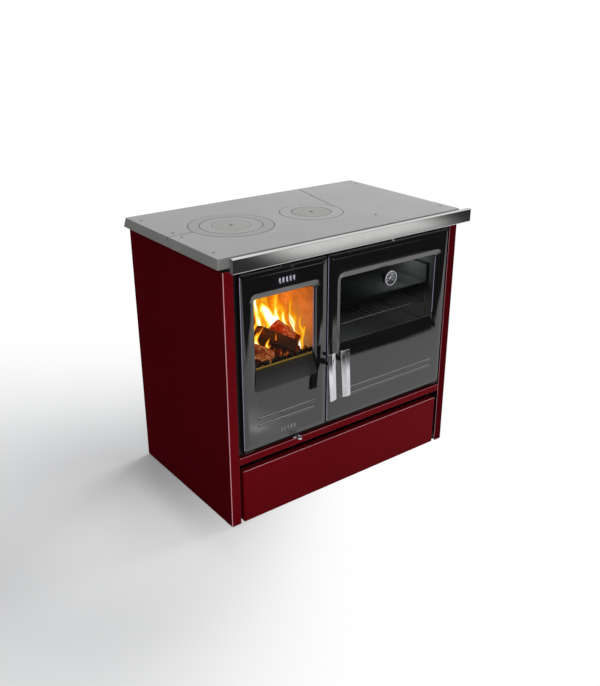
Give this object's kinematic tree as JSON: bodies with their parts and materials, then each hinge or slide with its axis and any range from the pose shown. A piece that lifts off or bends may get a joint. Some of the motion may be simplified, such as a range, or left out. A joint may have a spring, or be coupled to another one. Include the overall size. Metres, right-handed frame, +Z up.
{
  "type": "wood-fired range cooker",
  "caption": "Freestanding wood-fired range cooker with a cast hob, lift-out hob rings, glazed firebox and oven doors, a front rail and a log drawer.",
  "frame": {"origin": "on the floor, below the middle of the overall box", "axes": "+X to the right seen from the front, +Y to the back wall, +Z up"},
  "size_m": [0.9272, 0.676, 0.862],
  "materials": {
    "burgundy_enamel": "glossy burgundy enamel on steel sheet",
    "black_enamel": "glossy black enamel",
    "matt_black": "matt heat-resistant black paint",
    "hob_iron": "machined grey cast iron, satin",
    "skirt_steel": "plain steel",
    "brushed_rail": "brushed stainless steel",
    "polished_steel": "polished steel",
    "zinc_sheet": "galvanised steel sheet",
    "boiler_steel": "bare steel darkened by heat",
    "grate_iron": "rough cast iron",
    "firebrick": "pale moulded firebrick",
    "oven_enamel": "dark vitreous enamel",
    "ceramic_glass": "heat-resistant ceramic glass",
    "rope_seal": "woven glass-fibre rope",
    "pointer_white": "white painted pointer"
  },
  "bodies": {
    "root": {"levelling_feet": "matt_black", "base_tray": "zinc_sheet", "corner_posts": "zinc_sheet", "side_rails": "zinc_sheet", "deck_plate": "zinc_sheet", "left_side_panel": "burgundy_enamel", "right_side_panel": "burgundy_enamel", "rear_panel": "zinc_sheet", "front_fascia": "matt_black", "trim_strip": "burgundy_enamel", "hob_support_frame": "matt_black", "hob_plate": "hob_iron", "hob_screws": "skirt_steel", "towel_rail": "brushed_rail", "rail_brackets": "polished_steel", "firebox_shell": "boiler_steel", "firebrick_sides": "firebrick", "firebrick_rear": "firebrick", "fire_grate": "grate_iron", "log_guard": "grate_iron", "ash_pan": "boiler_steel", "oven_box": "oven_enamel", "oven_side_racks": "polished_steel", "oven_shelf": "polished_steel", "baking_tray": "oven_enamel", "flue_chamber": "boiler_steel", "flue_baffle": "boiler_steel", "rear_duct": "boiler_steel", "flue_collar": "matt_black", "door_hinges": "zinc_sheet", "latch_strikes": "zinc_sheet", "runner_outer": "zinc_sheet"},
    "firebox_door": {"firebox_door": "black_enamel", "firebox_glass": "ceramic_glass", "firebox_glass_clips": "zinc_sheet", "firebox_door_seal": "rope_seal", "firebox_door_liner": "matt_black"},
    "firebox_handle": {"firebox_handle": "polished_steel", "firebox_latch": "polished_steel"},
    "primary_air_slide": {"primary_air_slide": "polished_steel"},
    "secondary_air_slide": {"secondary_air_slide": "polished_steel"},
    "oven_door": {"oven_door": "black_enamel", "oven_glass": "ceramic_glass", "oven_glass_clips": "zinc_sheet", "oven_door_seal": "rope_seal", "oven_door_liner": "matt_black", "thermometer_case": "polished_steel"},
    "oven_handle": {"oven_handle": "polished_steel", "oven_latch": "polished_steel"},
    "thermometer_needle": {"thermometer_needle": "pointer_white"},
    "drawer": {"drawer_front": "burgundy_enamel", "drawer_box": "zinc_sheet", "runner_inner": "zinc_sheet"},
    "drawer_runners": {"runner_middle": "zinc_sheet"},
    "draught_damper": {"draught_damper": "polished_steel"},
    "large_outer_ring": {"large_outer_ring": "hob_iron"},
    "large_middle_ring": {"large_middle_ring": "hob_iron"},
    "large_lid": {"large_lid": "hob_iron"},
    "small_ring": {"small_ring": "hob_iron"},
    "small_lid": {"small_lid": "hob_iron"}
  },
  "joints": [
    {"name": "firebox_door_hinge", "type": "hinge", "parent": "root", "child": "firebox_door", "pos_m": [-0.393, -0.275, 0.25], "axis": [0, 0, -1], "range_deg": [0, 110]},
    {"name": "oven_door_hinge", "type": "hinge", "parent": "root", "child": "oven_door", "pos_m": [0.398, -0.275, 0.25], "axis": [0, 0, 1], "range_deg": [0, 110]},
    {"name": "firebox_handle_turn", "type": "hinge", "parent": "firebox_door", "child": "firebox_handle", "pos_m": [-0.11, -0.3, 0.467], "axis": [0, 1, 0], "range_deg": [0, 35]},
    {"name": "oven_handle_turn", "type": "hinge", "parent": "oven_door", "child": "oven_handle", "pos_m": [-0.058, -0.3, 0.467], "axis": [0, -1, 0], "range_deg": [0, 35]},
    {"name": "primary_air_slide", "type": "slide", "parent": "firebox_door", "child": "primary_air_slide", "axis": [1, 0, 0], "range_m": [0, 0.0062]},
    {"name": "secondary_air_slide", "type": "slide", "parent": "firebox_door", "child": "secondary_air_slide", "axis": [1, 0, 0], "range_m": [0, 0.0062]},
    {"name": "thermometer_needle_turn", "type": "hinge", "parent": "oven_door", "child": "thermometer_needle", "pos_m": [0.155, -0.285, 0.678], "axis": [0, 1, 0], "range_deg": [-130, 130]},
    {"name": "drawer_slide", "type": "slide", "parent": "root", "child": "drawer", "axis": [0, -1, 0], "range_m": [0, 0.38]},
    {"name": "drawer_runner_slide", "type": "slide", "parent": "root", "child": "drawer_runners", "axis": [0, -1, 0], "range_m": [0, 0.19]},
    {"name": "draught_damper_slide", "type": "slide", "parent": "root", "child": "draught_damper", "axis": [0, -1, 0], "range_m": [0, 0.034]},
    {"name": "large_outer_ring_lift", "type": "slide", "parent": "root", "child": "large_outer_ring", "axis": [0, 0, 1], "range_m": [0, 0.15]},
    {"name": "large_middle_ring_lift", "type": "slide", "parent": "large_outer_ring", "child": "large_middle_ring", "axis": [0, 0, 1], "range_m": [0, 0.15]},
    {"name": "large_lid_lift", "type": "slide", "parent": "large_middle_ring", "child": "large_lid", "axis": [0, 0, 1], "range_m": [0, 0.15]},
    {"name": "small_ring_lift", "type": "slide", "parent": "root", "child": "small_ring", "axis": [0, 0, 1], "range_m": [0, 0.15]},
    {"name": "small_lid_lift", "type": "slide", "parent": "small_ring", "child": "small_lid", "axis": [0, 0, 1], "range_m": [0, 0.15]}
  ],
  "couplings": [
    {"joint": "drawer_runner_slide", "follows": "drawer_slide", "ratio": 0.5}
  ]
}
